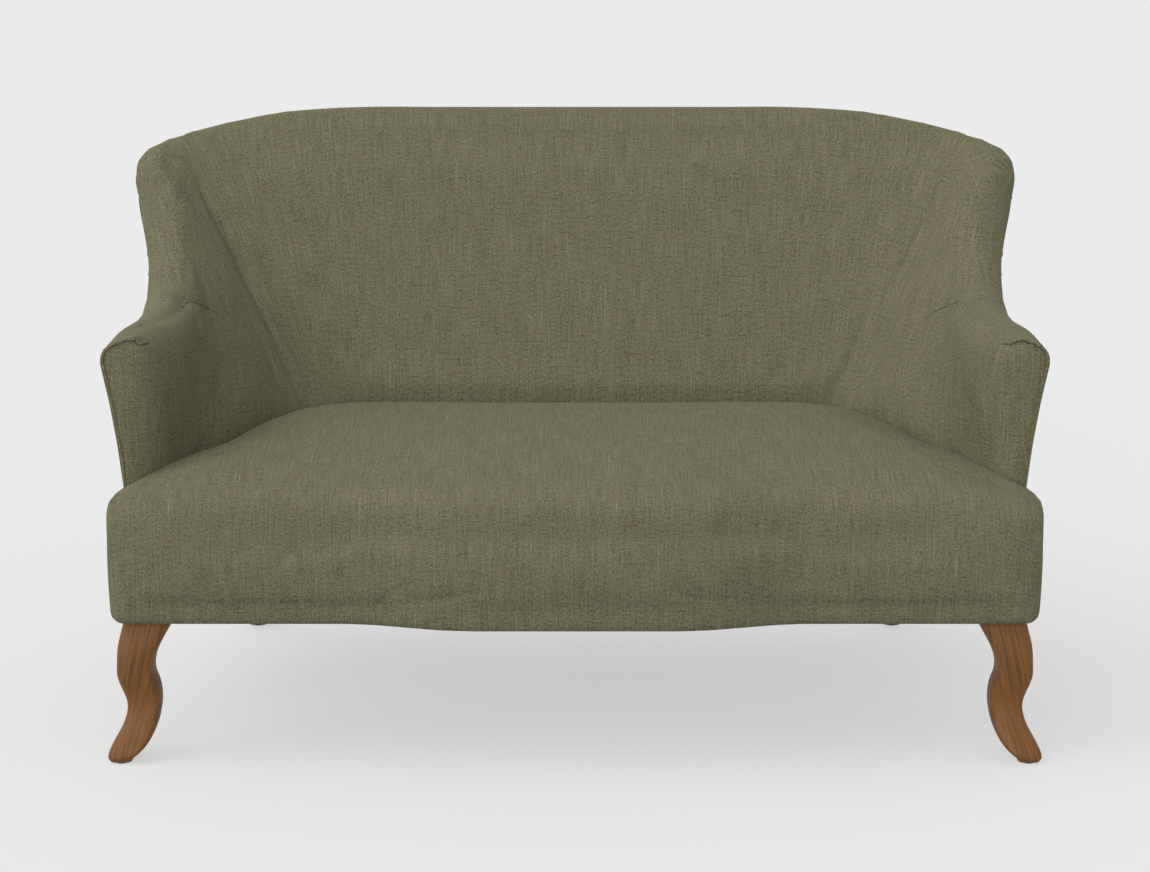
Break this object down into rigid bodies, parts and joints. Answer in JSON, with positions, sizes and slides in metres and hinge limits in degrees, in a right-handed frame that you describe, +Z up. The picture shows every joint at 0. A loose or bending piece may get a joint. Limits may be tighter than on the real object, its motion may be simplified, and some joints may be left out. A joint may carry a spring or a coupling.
{
  "type": "high back settee",
  "caption": "High back settee with a barrel shaped upholstered inside, swept wings flowing into scrolled arms, a serpentine front and cabriole front legs.",
  "frame": {"origin": "on the floor under the middle of the settee's overall box", "axes": "+Z up, the front of the settee faces -Y, +X to the viewer's right"},
  "size_m": [1.513, 0.783, 0.945],
  "materials": {
    "leg_wood": "stained oak under a satin lacquer",
    "glide": "moulded black plastic",
    "zinc_steel": "zinc plated steel",
    "frame_wood": "sawn and planed beech",
    "spring_steel": "bare spring steel wire and strip",
    "webbing": "woven jute webbing",
    "burlap": "plain woven burlap",
    "upholstery": "slubby olive linen look weave",
    "cambric": "black cambric"
  },
  "bodies": {
    "root": {"front_leg_left": "leg_wood", "front_leg_right": "leg_wood", "rear_leg_left": "leg_wood", "rear_leg_right": "leg_wood", "foot_glides": "glide", "leg_bolts": "zinc_steel", "leg_plates": "zinc_steel", "front_seat_rail": "frame_wood", "rear_seat_rail": "frame_wood", "side_seat_rail_left": "frame_wood", "side_seat_rail_right": "frame_wood", "seat_centre_brace": "frame_wood", "corner_blocks": "frame_wood", "back_post_left": "frame_wood", "back_post_right": "frame_wood", "back_centre_upright": "frame_wood", "back_top_rail": "frame_wood", "back_tack_rail": "frame_wood", "wing_board_left": "frame_wood", "wing_board_right": "frame_wood", "arm_post_left": "frame_wood", "arm_post_right": "frame_wood", "arm_top_rail_left": "frame_wood", "arm_top_rail_right": "frame_wood", "arm_tack_rail_left": "frame_wood", "arm_tack_rail_right": "frame_wood", "frame_dowels": "frame_wood", "seat_springs": "spring_steel", "spring_clips": "spring_steel", "back_webbing": "webbing", "seat_burlap": "burlap", "seat_pad": "upholstery", "inside_back": "upholstery", "inside_arm_left": "upholstery", "inside_arm_right": "upholstery", "arm_front_left": "upholstery", "arm_front_right": "upholstery", "outside_back": "upholstery", "outside_arm_left": "upholstery", "outside_arm_right": "upholstery", "dust_cover": "cambric"}
  },
  "joints": []
}
